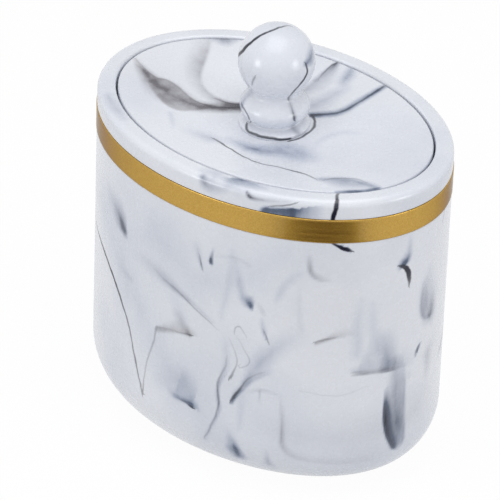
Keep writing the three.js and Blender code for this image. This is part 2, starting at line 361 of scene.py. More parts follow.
JAR_SMEARS = [
    # Wide veils that tint the front of the wall
    Smear([(-34, 62, 12, 12, 0.06), (-18, 46, 14, 14, 0.1), (-4, 30, 13, 13, 0.1),
           (8, 20, 10, 10, 0.05)], 0),
    Smear([(-8, 68, 9, 9, 0.08), (6, 60, 9, 9, 0.09), (20, 66, 8, 8, 0.07)], 0),
    Smear([(28, 22, 9, 9, 0.05), (44, 20, 9, 9, 0.08), (66, 24, 9, 9, 0.09)], 0.6),
    # The tear at the left, the flag and the long diagonal
    Smear([(-31, 70, 4, 3, 0.08), (-28, 68, 6, 4, 0.2), (-25, 66, 5, 4.5, 0.4), (-23, 64, 3, 4, 0.7),
           (-22, 63, 1.5, 2.5, 0.8)], 0.3),
    Smear([(-23, 51, 2.5, 2.5, 0.05), (-19, 50, 1.5, 1.5, 0.12)], 0.3),
    Smear([(-8, 40.5, 1, 1.5, 0.3), (-3.5, 42, 3, 1, 0.22), (-0.5, 43, 4.5, 0.6, 0.24),
           (2.8, 43.4, 3, 0.8, 0.34)], 0.8),
    Smear([(-0.5, 48, 2, 3, 0.12), (1.2, 45.5, 2, 2.5, 0.2), (2.8, 43.4, 1, 0.8, 0.36)], 0.7),
    Smear([(-1.5, 52, 3, 3.5, 0.05), (0, 47, 3, 3, 0.1)], 0.1),
    Smear([(-16, 59, 2.5, 4, 0.05), (-10.5, 58.5, 3.5, 4, 0.14), (-5.5, 56.5, 3.5, 2.5, 0.26),
           (-2, 55, 2.5, 1.2, 0.3), (3.5, 53.5, 1.2, 1.2, 0.22), (9.5, 50, 0.8, 0.8, 0.12)], 0.3),
    # Ticks and faint stripes under the band
    Smear([(4, 72, 1.5, 1.5, 0.06), (4.5, 69.5, 1.5, 1.5, 0.18), (5.4, 66.5, 0.8, 0.6, 0.35),
           (6, 65, 0.5, 0.6, 0.25)], 0.2),
    Smear([(9, 72, 0.7, 0.5, 0.12), (8.6, 69.5, 0.6, 0.7, 0.5), (8.4, 68.2, 0.8, 0.9, 1),
           (8.5, 67.5, 0.9, 0.7, 0.7)], 0.2),
    Smear([(14.5, 73, 1.5, 1.5, 0.05), (14, 64, 1.5, 1.5, 0.09), (12.5, 56, 1.5, 1.5, 0.12),
           (12, 51.5, 1, 1.2, 0.05)], 0),
    Smear([(10, 70, 1, 0.5, 0.05), (14.5, 71.5, 0.8, 0.8, 0.09), (17.5, 71, 0.8, 0.8, 0.13),
           (19.5, 70, 0.6, 0.6, 0.08)], 0.6),
    # Blue drops at the front
    Smear([(15.5, 70, 1.5, 1.3, 0.07), (16.5, 65, 1.6, 1.7, 0.15), (17.5, 61, 1.8, 1.5, 0.2),
           (18.2, 59.8, 3.5, 2, 0.38), (19.5, 59, 2.5, 2.4, 0.6), (20.2, 58, 0.8, 1.4, 0.8)], 0),
    Smear([(22, 59.5, 0.8, 1, 0.08), (23, 58, 1, 1.5, 0.2), (23.5, 56.5, 0.8, 0.8, 0.16)], 0.4),
    Smear([(23, 55, 1, 1, 0.1), (23.4, 52, 1.3, 0.8, 0.3), (23.8, 51, 0.7, 0.9, 0.4),
           (24.4, 49, 0.6, 0.4, 0.3)], 0),
    Smear([(32, 70, 1.5, 2, 0.06), (28.5, 66.5, 2, 2, 0.12), (27, 63, 2, 1.5, 0.14),
           (26.5, 61, 1, 1, 0.08)], 0),
    Smear([(32.5, 65.5, 0.7, 1.5, 0.04), (32.5, 59.5, 0.7, 1.5, 0.07), (33, 55, 1, 1.5, 0.1),
           (33.5, 53, 0.7, 0.7, 0.06)], 0.2),
    # The grey hook and the brown stroke
    Smear([(34.3, 76, 1, 1, 0.08), (34.5, 74, 1.2, 1, 0.28), (34.6, 72, 1.2, 1, 0.4),
           (35, 70.5, 1.5, 0.8, 0.35), (36.5, 69, 2.2, 0.6, 0.25), (39, 68.5, 1.7, 0.3, 0.12)], 0.6),
    Smear([(37, 50, 0.5, 1, 0.3), (39.5, 51, 1, 0.8, 0.28), (42, 52, 2, 0.8, 0.2),
           (44, 52, 3.5, 0.5, 0.15)], 0.7),
    # Along the two long strokes and under them
    Smear([(32, 51.5, 4, 4, 0.07), (26, 46, 4, 5, 0.17), (21.5, 39.5, 3.5, 3.5, 0.22),
           (19, 34.5, 1.5, 1.5, 0.2)], 0),
    Smear([(13.5, 45, 1.5, 2, 0.06), (14, 39, 1.5, 1.5, 0.12), (13, 35, 1, 1.2, 0.2),
           (11.5, 30.5, 0.9, 0.8, 0.3), (12, 27, 0.8, 1, 0.32), (12.5, 24, 0.8, 0.9, 0.28),
           (10, 18, 0.8, 0.9, 0.2), (8, 13, 1.2, 0.8, 0.15)], 0.1),
    Smear([(26, 39.5, 0.8, 1.3, 0.08), (21, 36, 1, 2.7, 0.2), (19, 33, 0.8, 1.8, 0.3),
           (17, 30, 0.6, 1.8, 0.5), (15.6, 27.3, 0.7, 0.7, 0.5)], 0.1),
    Smear([(18.5, 32, 1.5, 1.8, 0.05), (18.5, 26, 1.5, 1.8, 0.1), (18, 20, 1.3, 1.5, 0.08)], 0),
    # The blue fan at the lower left and the drop at the foot of the front
    Smear([(-3, 23.4, 3, 1.5, 0.1), (-1.5, 22.6, 8, 1.5, 0.26), (1.5, 22.6, 11, 1, 0.28),
           (3, 22.4, 11, 0.8, 0.32), (4, 22, 3, 0.6, 0.6)], 0),
    Smear([(-1.5, 23, 1, 0.8, 0.25), (0.5, 22.6, 1.5, 0.5, 0.36), (2.5, 22.6, 1.8, 0.5, 0.5),
           (4, 22.2, 1, 0.6, 0.8)], 0),
    Smear([(-6.5, 25, 4, 3.5, 0.05), (1, 29, 5.5, 4.5, 0.12)], 0.1),
    Smear([(15, 18, 1.8, 1.5, 0.08), (16.4, 15, 2, 3, 0.35), (17, 13, 2, 3.5, 0.8),
           (17.6, 10.7, 3, 3, 0.6)], 0),
    Smear([(25.5, 15, 0.5, 0.5, 0.1), (26, 9.5, 2, 2, 0.3), (27, 8.5, 2, 3, 0.12)], 0.2),
    # Thin brown marks and the bracket under them
    Smear([(20, 32, 1, 0.8, 0.05), (23, 33.5, 1, 0.8, 0.18), (25.5, 33.5, 1, 0.8, 0.15),
           (27.5, 33, 0.8, 0.5, 0.1)], 0.6),
    Smear([(23, 33, 0.6, 0.4, 0.2), (23.5, 29, 0.4, 0.4, 0.12)], 0.5),
    Smear([(28.5, 33, 0.7, 0.7, 0.05), (29, 27, 1.5, 0.5, 0.15), (29.3, 20, 1.2, 0.7, 0.25),
           (29.3, 17.5, 1.5, 1.2, 0.22), (31.5, 14, 2.7, 0.5, 0.14), (37, 13, 2.7, 1, 0.1),
           (46, 12, 2.7, 1.2, 0.09), (53, 13, 2.5, 2, 0.06)], 0.6),
    # Right of the front: the comma, the brown flag and the mark under the band
    Smear([(61, 78.5, 0.8, 1.2, 0.08), (61, 74, 1.2, 2, 0.24), (60.5, 72, 1.5, 3, 0.5),
           (59.5, 70.8, 1, 2.5, 0.7)], 0),
    Smear([(69, 65, 3, 3, 0.08), (68, 61, 6, 4, 0.2), (68, 56, 7, 4, 0.26),
           (69.5, 51, 5, 3.5, 0.26)], 0.3),
    Smear([(66.5, 62, 2.5, 0.8, 0.08), (66, 58, 3.5, 0.8, 0.22), (66, 54, 3.5, 0.8, 0.28),
           (67.5, 51, 3, 0.8, 0.28), (70, 50.5, 2, 0.8, 0.2)], 0.3),
    Smear([(70.5, 56, 2.5, 2.7, 0.1), (71, 52.5, 2.5, 2, 0.25), (70.5, 51, 2.2, 1.5, 0.15)], 0.6),
    Smear([(41, 79.5, 0.3, 0.5, 0.6), (43, 78.8, 0.3, 0.8, 0.85), (44, 78, 0.5, 1, 0.9),
           (44.7, 77.5, 0.3, 0.5, 0.6)], 0),
    # The curtain: a veil that hangs from a brown hem
    Smear([(47.5, 40.6, 2.5, 0.8, 0.2), (48.5, 40.4, 8, 0.6, 0.22), (50.5, 40.2, 13, 0.5, 0.24),
           (53.5, 40, 15, 0.8, 0.22), (56.5, 39.8, 14, 0.8, 0.28), (58.5, 39.5, 7, 0.5, 0.2)], 0.15),
    Smear([(47, 40.5, 1, 0.5, 0.2), (51.5, 40, 1.5, 0.3, 0.25), (57.5, 39.5, 1.5, 0.5, 0.2)], 1),
    Smear([(54.5, 50, 3, 2.5, 0.08), (55.5, 45, 3, 3, 0.13), (56.5, 41.5, 2.5, 3, 0.18)], 0),
    Smear([(51, 61, 1.5, 2, 0.06), (51.5, 53.5, 2.5, 2.5, 0.12), (53, 47, 2.5, 2.5, 0.1)], 0),
    Smear([(48, 62.5, 2, 2, 0.05), (47.5, 55, 2.5, 3, 0.1), (47.5, 46, 2.5, 2.5, 0.12)], 0),
    # The big dark tear at the lower right, with its veil and the marks beside it
    Smear([(55.9, 34, 1.5, 0.5, 0.15), (55.8, 30, 2, 0.6, 0.55), (56, 25, 2.8, 0.7, 0.95),
           (56.6, 21, 3, 0.8, 1), (57.8, 17.5, 2.6, 1, 0.95), (59.5, 14.5, 2, 1, 0.6)], 0.2),
    Smear([(58.5, 42, 2.5, 2.5, 0.2), (59, 34, 3.5, 3.5, 0.32), (59, 28, 3.5, 4, 0.3),
           (59.5, 22, 4, 4, 0.34), (60.5, 16, 3, 3, 0.34)], 0.2),
    Smear([(61.2, 40, 0.8, 4, 0.16), (61.8, 34, 0.8, 5, 0.26), (61.8, 28, 0.8, 5, 0.28),
           (62.2, 22, 0.8, 5, 0.28), (62.5, 16.5, 0.8, 4, 0.26)], 0.1),
    Smear([(66.4, 43.8, 0.8, 0.8, 0.3), (65.8, 42.5, 0.5, 0.8, 0.7), (65.2, 41, 0.5, 0.8, 0.4)], 0.2),
    Smear([(71, 41, 3.5, 2.5, 0.12), (70, 39, 3, 3, 0.22), (70.5, 36, 2.5, 2, 0.2),
           (70, 33, 2.5, 2, 0.08)], 0.5),
    Smear([(63, 37, 1.2, 1.3, 0.08), (63, 35.5, 1.2, 1, 0.12)], 0.4),
    # On the rim
    Smear([(17.6, 91.4, 0.6, 0.6, 0.4), (18.4, 90.3, 1.2, 1, 0.65), (20, 90, 1, 0.8, 0.35),
           (24, 90.4, 1, 0.4, 0.16), (29, 91, 0.7, 0.5, 0.08)], 0.5),
    Smear([(22, 87, 1.2, 2, 0.55), (23.7, 87.8, 1.2, 5, 0.66), (26.7, 88.5, 0.8, 8, 0.72),
           (29.3, 89, 0.6, 9, 0.72), (30, 89.2, 0.6, 8, 0.6)], 0),
    Smear([(22, 87.8, 0.8, 1, 0.3), (23.2, 88.2, 1, 1.5, 0.45)], 0),
    Smear([(-42, 93.5, 2.2, 2.2, 0.14), (-35, 94, 2.5, 2.5, 0.24), (-29.5, 94, 2, 2, 0.1)], 0.1),
    Smear([(4.5, 94, 2.4, 3, 0.13), (7.5, 94.5, 3, 4, 0.2), (10.5, 94.5, 2.2, 2.4, 0.06)], 0),
    Smear([(5, 91.5, 1.5, 1.5, 0.4), (6.5, 89.5, 4, 3, 0.32), (11.5, 90.5, 3, 2, 0.12)], 0.2),
    Smear([(13.5, 95, 1.5, 4.5, 0.5), (16, 95.5, 0.6, 6, 0.5), (21.5, 94, 2.5, 2.2, 0.14)], 0),
]
print(len(JAR_VEINS), "veins and", len(JAR_SMEARS), "smears drawn on the jar")

# %% Veins for the sides that face away
BACK_SEED = 11
BACK_COUNT = 26
BACK_SPAN = (92.0, 214.0)
BACK_HEIGHTS = (24.0, 78.0)
GOLDEN_SHARE = 0.618
STROKE_POINTS = 5
STROKE_SIZES = (4.0, 22.0)
JITTER = 2.0
DRIFT, DROP = 0.25, -0.22
WOBBLES = (0.1, 0.06)
INKS, DARKS = (0.1, 1.0), (0.1, 0.8)
SHARP_REACHES, WIDE_REACHES = (0.5, 1.2), (1.5, 5.0)
HAIR, THICKEN = 0.12, 0.4
WIDEST, NARROWING = 1.2, 0.5
PALE_START = 0.2
WARMEST = 0.7


def scattered_strokes(count, seed):
    """Veins and smears like the listed ones, for the rest of the wall. Each starts in its own share of
    the span, and the heights step by the golden share of their range. A stroke runs mostly
    downwards with a drift to one side, and gets darker towards its end. One side of the smear is
    wide and the other sharp."""
    draw = np.random.default_rng(seed)
    grow = np.linspace(PALE_START, 1, STROKE_POINTS)
    veins, smears = [], []
    for index in range(count):
        across, up = (index + 0.5) / count, index * GOLDEN_SHARE % 1
        start = np.array([np.interp(across, (0, 1), BACK_SPAN), np.interp(up, (0, 1), BACK_HEIGHTS)])
        start += draw.uniform(-JITTER, JITTER, 2)
        size, lean = draw.uniform(*STROKE_SIZES), draw.uniform(-1.0, 1.0)
        steps = np.cumsum(draw.normal((DRIFT * lean, DROP), WOBBLES, (STROKE_POINTS - 1, 2)), axis=0)
        way = np.vstack([start, start + steps * size])
        ink, dark = draw.uniform(*INKS), draw.uniform(*DARKS)
        left, right = draw.permutation((draw.uniform(*SHARP_REACHES), draw.uniform(*WIDE_REACHES)))
        veins.append(Vein(np.column_stack([way, HAIR + THICKEN * ink**2 * grow, ink * grow])))
        swell = WIDEST - NARROWING * grow
        shape = np.column_stack([way, left * swell, right * swell, dark * grow])
        smears.append(Smear(shape, draw.uniform(0, WARMEST)))
    return veins, smears


back_veins, back_smears = scattered_strokes(BACK_COUNT, BACK_SEED)
print(len(back_veins), "more strokes on the sides that face away")

# %% The jar's profile
EDGE_ROUND = 0.3
GROOVE_ROUND = 0.15
GROOVE_CLEAR = 0.05
PAD_CLEAR = 0.2
RECESS_CLEAR = 0.1
INSIDE_DROP = 4.0
FLAT_RUN = 1.0
OUTSIDE_STEP = 0.65
INSIDE_STEP = 3.0
WALL = RIM_WIDTH + LEDGE_WIDTH
LEDGE_Z = lid_low[2] - SEAT
FLOOR_Z = BASE_Z + FLOOR_THICK
PAD_INSET = HALF_LONG - pad_high[0]
GROOVE = BAND_BACK + GROOVE_CLEAR
GROOVE_LOW, GROOVE_HIGH = band_low[2] - BAND_LINE, band_high[2] + BAND_LINE
RECESS_INSET, RECESS_Z = PAD_INSET - PAD_CLEAR, pad_high[2] + RECESS_CLEAR
INSIDE_Z = LEDGE_Z - INSIDE_DROP
outside_rows = profile([
    (RECESS_INSET, RECESS_Z, 0), (RECESS_INSET, BASE_Z, EDGE_ROUND), (0, BASE_Z, BASE_ROUND),
    (0, GROOVE_LOW, GROOVE_ROUND), (GROOVE, GROOVE_LOW, 0), (GROOVE, GROOVE_HIGH, 0),
    (0, GROOVE_HIGH, GROOVE_ROUND), (0, RIM_Z, RIM_OUTER_ROUND), (RIM_WIDTH, RIM_Z, RIM_INNER_ROUND),
    (RIM_WIDTH, LEDGE_Z, EDGE_ROUND), (WALL, LEDGE_Z, LEDGE_ROUND), (WALL, INSIDE_Z, 0),
], OUTSIDE_STEP)
inside_rows = profile([
    (WALL, INSIDE_Z, 0), (WALL, FLOOR_Z, FLOOR_ROUND), (WALL + FLOOR_ROUND + FLAT_RUN, FLOOR_Z, 0),
], INSIDE_STEP)
print(len(outside_rows), "rows outside and", len(inside_rows), "inside")

# %% Places on the wall
# The strokes follow a plain copy of the outside that runs straight over the band's groove.
ON_WALL = 1e-6
skin_rows = profile([
    (BASE_ROUND + FLAT_RUN, BASE_Z, 0), (0, BASE_Z, BASE_ROUND), (0, RIM_Z, RIM_OUTER_ROUND),
    (RIM_WIDTH, RIM_Z, RIM_INNER_ROUND), (RIM_WIDTH, LEDGE_Z, 0),
], OUTSIDE_STEP)
skin_length = np.concatenate([[0], np.cumsum(np.linalg.norm(np.diff(skin_rows, axis=0), axis=1))])
wall_start = np.flatnonzero(skin_rows[:, 0] < ON_WALL)[0]
skin_length += skin_rows[wall_start, 1] - skin_length[wall_start]


def on_wall(place):
    """Point of the outside at a distance round the oval from the front middle and a length up the
    profile, which on the straight wall is the height."""
    angle = angle_at(place[:, 0])
    inset = np.interp(place[:, 1], skin_length, skin_rows[:, 0])
    z = np.interp(place[:, 1], skin_length, skin_rows[:, 1])
    x, y = (HALF_LONG - inset) * np.cos(angle), (HALF_SHORT - inset) * np.sin(angle)
    return np.stack([x, y, z], axis=1)


print("the plain copy is", round(skin_length[-1] - skin_length[0], 1), "mm long")

# %% The jar's body
# The columns stand closer together over the span whose strokes are listed one by one.
DRAWN_SPAN = (-48.0, 80.0)
DRAWN_COLUMNS = 232
PLAIN_COLUMNS = 148
jar_length = np.concatenate([
    np.linspace(*DRAWN_SPAN, DRAWN_COLUMNS, endpoint=False),
    np.linspace(DRAWN_SPAN[1], DRAWN_SPAN[0] + GIRTH, PLAIN_COLUMNS, endpoint=False),
])
jar_grid = oval_grid(np.vstack([outside_rows, inside_rows[1:]]), angle_at(jar_length))
jar_fields = draw_veins(jar_grid, JAR_VEINS + back_veins, JAR_SMEARS + back_smears, on_wall)
jar = skin("marble_jar", jar_grid, poles=((0, 0, RECESS_Z), (0, 0, FLOOR_Z)), fields=jar_fields)
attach(jar, "jar")
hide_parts("jar_body")

# %% [markdown]
# ## The band and the pad
#
# The band is a thin gilt strip that fills its groove and stands a hair proud, which gives the
# fine shadow along its edges. The pad is a die-cut piece of foam, so its edges stay fairly sharp.
# A curve with a bevel could make the band, but its offset would not be quite the jar's own. Both
# are profiles carried round the jar's oval, so they fit it all the way round.

# %% The gilt band
BAND_ROUND = 0.15
BAND_SEAM = 0.1
band_proud = HALF_LONG - band_high[0]
band_middle = (band_low[2] + band_high[2]) / 2
band_rows = profile([
    (BAND_BACK, band_middle, 0), (BAND_BACK, band_low[2], 0), (band_proud, band_low[2], BAND_ROUND),
    (band_proud, band_high[2], BAND_ROUND), (BAND_BACK, band_high[2], 0),
    (BAND_BACK, band_middle + BAND_SEAM, 0),
], step=0.6)
band = skin("gilt_band", oval_grid(band_rows, even_angle), loop=True)
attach(band, "jar")
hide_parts("gold_band")

# %% The foam pad
PAD_RUN = 2.0
PAD_LOW_ROUND, PAD_HIGH_ROUND = 0.4, 0.2
pad_rows = profile([
    (PAD_INSET + PAD_RUN, pad_low[2], 0), (PAD_INSET, pad_low[2], PAD_LOW_ROUND),
    (PAD_INSET, pad_high[2], PAD_HIGH_ROUND), (PAD_INSET + PAD_RUN, pad_high[2], 0),
], step=0.5)
pad = skin("foam_pad", oval_grid(pad_rows, even_angle), poles=((0, 0, pad_low[2]), (0, 0, pad_high[2])))
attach(pad, "jar")
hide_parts("base_pad")

# %% [markdown]
# ## The lid
#
# The lid is an oval plate with a rounded edge. Its top dips by nearly three millimetres towards a
# round flat under the knob. A stepped hole in the middle takes the fixing from below. The dip could
# be sculpted, but it would hardly meet the round flat cleanly. Here rings lie one inside the other
# and turn from the oval into a circle, which keeps the top smooth.

# %% Veins on the lid
# Places are (along the long way, along the short way) from the middle of the lid.
LID_VEINS = [
    # The thin line across the front and the grey leaf at its end
    Vein([(-6, -17.5, 0.24, 0.7), (-1, -18, 0.26, 0.95), (5.5, -20, 0.18, 0.85),
          (11, -20.3, 0.16, 0.75), (15.7, -18.2, 0.18, 0.75), (20, -17.5, 0.22, 0.95),
          (23.6, -17.2, 0.2, 0.75), (26.7, -17.8, 0.14, 0.5)]),
    Vein([(28.5, -17, 0.12, 0.3), (30, -14, 0.16, 0.45), (34, -11, 0.14, 0.35),
          (37.5, -11, 0.12, 0.25)]),
    # The thick vein that runs back from the knob, and the edge of the wedge
    Vein([(5, 9.2, 0.35, 0.8), (7, 11.4, 0.3, 0.6), (9.7, 13, 0.26, 0.5), (11, 15.5, 0.24, 0.5),
          (11.6, 18.7, 0.24, 0.55), (12.5, 22.5, 0.24, 0.6), (13, 26, 0.24, 0.65),
          (13.3, 29.8, 0.2, 0.6)]),
    Vein([(-2.5, 21.7, 0.1, 0.2), (-3, 25.6, 0.16, 0.5), (-3.2, 28.8, 0.2, 0.75),
          (-3.2, 31.4, 0.14, 0.6)]),
    # The leaf's upper edge, and two dark lines that run to the knob from the left
    Vein([(-43.5, -2.2, 0.12, 0.2), (-39, -4.4, 0.14, 0.3), (-34, -6, 0.14, 0.3),
          (-32, -4.2, 0.14, 0.25), (-27.5, -4.2, 0.14, 0.25), (-22, -6.5, 0.14, 0.3),
          (-17, -5, 0.14, 0.4)]),
    Vein([(-16.5, -5, 0.25, 0.5), (-14, -2.5, 0.3, 0.7), (-9.5, 1.4, 0.35, 0.85)]),
    Vein([(-18.5, -1.2, 0.12, 0.3), (-15, -0.6, 0.2, 0.5), (-9.5, 2.4, 0.3, 0.7)]),
    # The short mark at the far edge, and a dark line on the lid round the knob's foot
    Vein([(-36, 18, 0.16, 0.5), (-33, 20.3, 0.2, 0.7), (-30, 23, 0.16, 0.5)]),
    Vein([(8.6, -4.3, 0.3, 0.9), (9.5, -2, 0.28, 0.85), (9.9, 1, 0.28, 0.85), (9, 5, 0.28, 0.85),
          (7.5, 7.5, 0.28, 0.85), (5.2, 9.2, 0.3, 0.9)]),
]
LID_SMEARS = [
    # The brown leaf and its upper edge
    Smear([(-44.5, -2, 1, 1, 0.15), (-39, -5, 2, 2, 0.36), (-34, -7.5, 4, 4, 0.42),
           (-30, -8.5, 6, 6, 0.38), (-26, -9, 6, 6, 0.4), (-22, -8.5, 5, 5, 0.44),
           (-18.5, -7, 3.5, 3.5, 0.45), (-15.5, -4.5, 3, 3, 0.6), (-11, 0, 3, 3, 0.75)], 0.7),
    Smear([(-40.5, -4.5, 0.8, 2.5, 0.15), (-34, -6, 0.8, 5, 0.3), (-32, -4.2, 0.8, 7, 0.32),
           (-27.5, -4.2, 0.8, 7, 0.3), (-22, -6.5, 0.8, 4, 0.2), (-17, -5, 0.8, 2, 0.2)], 0.8),
    Smear([(-34, -8.5, 3, 0.8, 0.12), (-29.5, -11.5, 6, 0.8, 0.24), (-24.5, -13.5, 7, 0.8, 0.28),
           (-21, -13.5, 6, 0.8, 0.26), (-18.5, -10, 4, 0.8, 0.22), (-16.5, -5, 2, 0.8, 0.2)], 0.8),
    # The beige band from the far edge to the knob
    Smear([(-34.5, 17, 1, 5, 0.16), (-31.5, 12, 1, 6, 0.28), (-29, 6.5, 1, 5.5, 0.3),
           (-26.5, 2.5, 1, 4, 0.22), (-23, 0, 1, 3.5, 0.18), (-19, -1, 1.3, 3, 0.25),
           (-14.5, -0.5, 1.5, 2.5, 0.45), (-11.5, 1, 2, 2, 0.6)], 0.7),
    Smear([(-36, 19, 1, 2, 0.35), (-33, 20.5, 1, 4, 0.45), (-32, 21.5, 1, 5, 0.45),
           (-30, 23.5, 1, 2, 0.35)], 0.2),
    Smear([(-21, -16, 1.2, 1.2, 0.14), (-15.5, -21.5, 1, 1, 0.06)], 0),
    # Behind the knob: the wedge, a blob and a pale streak
    Smear([(-3, 16.5, 2, 3, 0.22), (-3, 20, 1.5, 5, 0.28), (-3, 24, 1.2, 5, 0.34),
           (-3, 27, 1, 3.5, 0.42), (-3, 29.5, 0.8, 1.6, 0.56), (-3.2, 31.4, 0.6, 0.8, 0.5)], 0.4),
    Smear([(1.5, 31, 2, 2, 0.22), (2.5, 28, 3, 2.5, 0.4), (3.5, 24.5, 2.5, 2.5, 0.24)], 0),
    Smear([(5.5, 22.5, 2.5, 2.5, 0.12), (4.5, 19.5, 3, 3, 0.2), (3.5, 15.5, 4, 3.5, 0.18),
           (2.5, 13, 4, 3.5, 0.2)], 0),
    Smear([(5.2, 9.2, 2, 2, 0.75), (7.2, 11, 2.3, 2, 0.58), (9.7, 13, 2.2, 2, 0.5),
           (11, 15.5, 2, 1.7, 0.5), (11.7, 18.7, 2, 1.5, 0.52), (12.6, 22.5, 1.8, 1.5, 0.58),
           (13.2, 26, 1.7, 1.2, 0.62), (13.3, 29.7, 1.3, 1.3, 0.55)], 0),
    # Washes in front of the knob
    Smear([(-3, -14, 2.7, 3, 0.16), (2.5, -14.5, 3.5, 3.5, 0.38), (6, -13, 4.5, 4.5, 0.46),
           (10, -11, 5.5, 4.7, 0.3), (14, -9.7, 6.8, 6, 0.18), (17.5, -8, 4.6, 4.8, 0.12)], 0),
    Smear([(9.5, -7, 3.7, 4.8, 0.16), (13.5, -7.5, 6, 6, 0.22), (17, -9.5, 5, 5, 0.12)], 0),
    Smear([(-12, -19.5, 3, 3, 0.08), (-8, -18.5, 5, 5, 0.18), (-5.5, -17.5, 4, 4, 0.22),
           (-3, -17.5, 2, 2, 0.1)], 0.1),
    Smear([(15.5, -4, 1, 1.2, 0.05), (14, 0, 1.3, 1.7, 0.1), (14.5, 4.5, 1.5, 2, 0.12),
           (16.5, 7.5, 1.5, 2, 0.1), (20, 8.5, 1.5, 1.5, 0.05)], 0),
    # The grey leaf at the right end, and ink along the lid's edge under it
    Smear([(27.5, -17, 1.7, 1.7, 0.3), (29, -15.5, 1.7, 4.5, 0.36), (32, -13, 1.7, 6.5, 0.4),
           (35.5, -12, 1.7, 6, 0.36), (40, -11.5, 2, 2, 0.3)], 0.05),
    Smear([(34.5, -19.5, 0.9, 0.9, 0.4), (37, -17, 0.9, 0.9, 0.7), (39.5, -14.5, 0.9, 0.9, 0.65),
           (41.5, -11, 0.9, 0.9, 0.4)], 0),
]
print(len(LID_VEINS), "veins and", len(LID_SMEARS), "smears drawn on the lid")

# %% The lid's plate
LID_INSET = HALF_LONG - lid_high[0]
LID_TOP, LID_UNDER = lid_high[2], lid_low[2]
SEAT_Z = LID_TOP - LID_DISH
SEAT_R = FOOT_R + 1.0
BORE_R = 2.3
COUNTERBORE_R = 4.8
COUNTERBORE_Z = LID_UNDER + 3.5
UNDER_ROUND = 0.8
UNDER_RUN = 12.0
UNDER_R = 14.0
DISH_ROWS = 64
edge_rows = profile([
    (LID_INSET + UNDER_RUN, LID_UNDER, 0), (LID_INSET, LID_UNDER, UNDER_ROUND),
    (LID_INSET, LID_TOP, LID_ROUND), (LID_INSET + LID_ROUND, LID_TOP, 0),
], step=0.8)
hole_rows = profile([
    (SEAT_R, SEAT_Z, 0), (BORE_R, SEAT_Z, 0), (BORE_R, COUNTERBORE_Z, 0), (COUNTERBORE_R, COUNTERBORE_Z, 0),
    (COUNTERBORE_R, LID_UNDER, EDGE_ROUND), (UNDER_R, LID_UNDER, 0),
], step=1.0)


def lid_top_grid(edge_ring):
    """The dished top: each ring is a mix of the oval edge and the round seat, and it dips by the
    dish's depth times half of (1 - cosine of pi times the share of the way in)."""
    share = (np.arange(1, DISH_ROWS) / DISH_ROWS)[:, None, None]
    seat_angle = np.arctan2(edge_ring[:, 1], edge_ring[:, 0])
    seat_x, seat_y = SEAT_R * np.cos(seat_angle), SEAT_R * np.sin(seat_angle)
    seat_ring = np.stack([seat_x, seat_y, edge_ring[:, 2]], axis=1)
    rings = edge_ring * (1 - share) + seat_ring * share
    rings[..., 2] -= (LID_DISH * (1 - np.cos(np.pi * share)) / 2)[..., 0]
    return rings


def lid_hole_grid(edge_ring):
    """Round rings of the fixing's hole, at the angles of the oval's own points."""
    angle = np.arctan2(edge_ring[:, 1], edge_ring[:, 0])
    x, y = hole_rows[:, :1] * np.cos(angle), hole_rows[:, :1] * np.sin(angle)
    return np.stack([x, y, np.broadcast_to(hole_rows[:, 1:], x.shape)], axis=-1)


def on_lid(place):
    """Point of the lid's top, with the dip left out."""
    return np.column_stack([place, np.zeros(len(place))])


lid_edge = oval_grid(edge_rows, even_angle)
lid_top, lid_hole = lid_top_grid(lid_edge[-1]), lid_hole_grid(lid_edge[-1])
lid_grid = np.concatenate([lid_edge, lid_top, lid_hole])
# Strokes lie on the flattened top, so they fade out with the depth down the edge and the hole.
lid_flat = np.concatenate([lid_edge - (0, 0, LID_TOP), lid_top * (1, 1, 0), lid_hole - (0, 0, SEAT_Z)])
lid_fields = draw_veins(lid_flat, LID_VEINS, LID_SMEARS, on_lid)
lid = skin("marble_lid", lid_grid, loop=True, fields=lid_fields)
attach(lid, "lid")
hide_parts("lid_plate")

# %% [markdown]
# ## The knob
#
# The knob is a turned shape: a foot, a bead, a short neck and a ball. A sphere and some cylinders
# could be put together, but their joins would show in the gloss. So the outline is one list of
# radii and heights, with rounded corners for the bead and the neck and an arc for the ball.
# Turning it about the upright axis makes the knob in one go.

# %% Veins on the knob
# Places are (degrees round the knob from the front, height above the foot).
KNOB_VEINS = [
    # Over the ball, and down its right side into the neck
    Vein([(-49, 20, 0.4, 1), (-37.5, 22, 0.6, 1), (-31, 24, 0.42, 1), (-27, 26, 0.32, 1),
          (-19, 27.3, 0.26, 0.95), (0, 27.85, 0.25, 0.9), (30, 27.94, 0.24, 0.85),
          (130, 27.93, 0.22, 0.8), (156, 27.7, 0.2, 0.7), (150, 27.2, 0.16, 0.5)]),
    Vein([(87, 20.8, 0.22, 0.8), (92, 18.6, 0.26, 1), (84, 17, 0.26, 1), (73.5, 15.2, 0.25, 0.9),
          (66.5, 12.5, 0.24, 0.85), (68, 10, 0.2, 0.55)]),
    # On the bead, a tick at the left of the neck, and the line round the foot
    Vein([(71, 9, 0.12, 0.2), (70, 7, 0.18, 0.4), (71.5, 5.5, 0.35, 0.8)]),
    Vein([(5, 18, 0.15, 0.5), (-4, 15, 0.15, 0.5)]),
    Vein([(-36, 6.3, 0.22, 0.6), (-19, 6, 0.22, 0.7), (-9, 5, 0.22, 0.75), (-12, 3.5, 0.22, 0.75),
          (-22, 1.8, 0.24, 0.8)]),
    Vein([(-26, 1.2, 0.24, 0.8), (-11.5, 0.8, 0.26, 0.85), (10, 0.6, 0.28, 0.9), (33, 0.4, 0.28, 0.9),
          (52, 0.1, 0.3, 0.95), (64, 0, 0.3, 0.95)]),
]
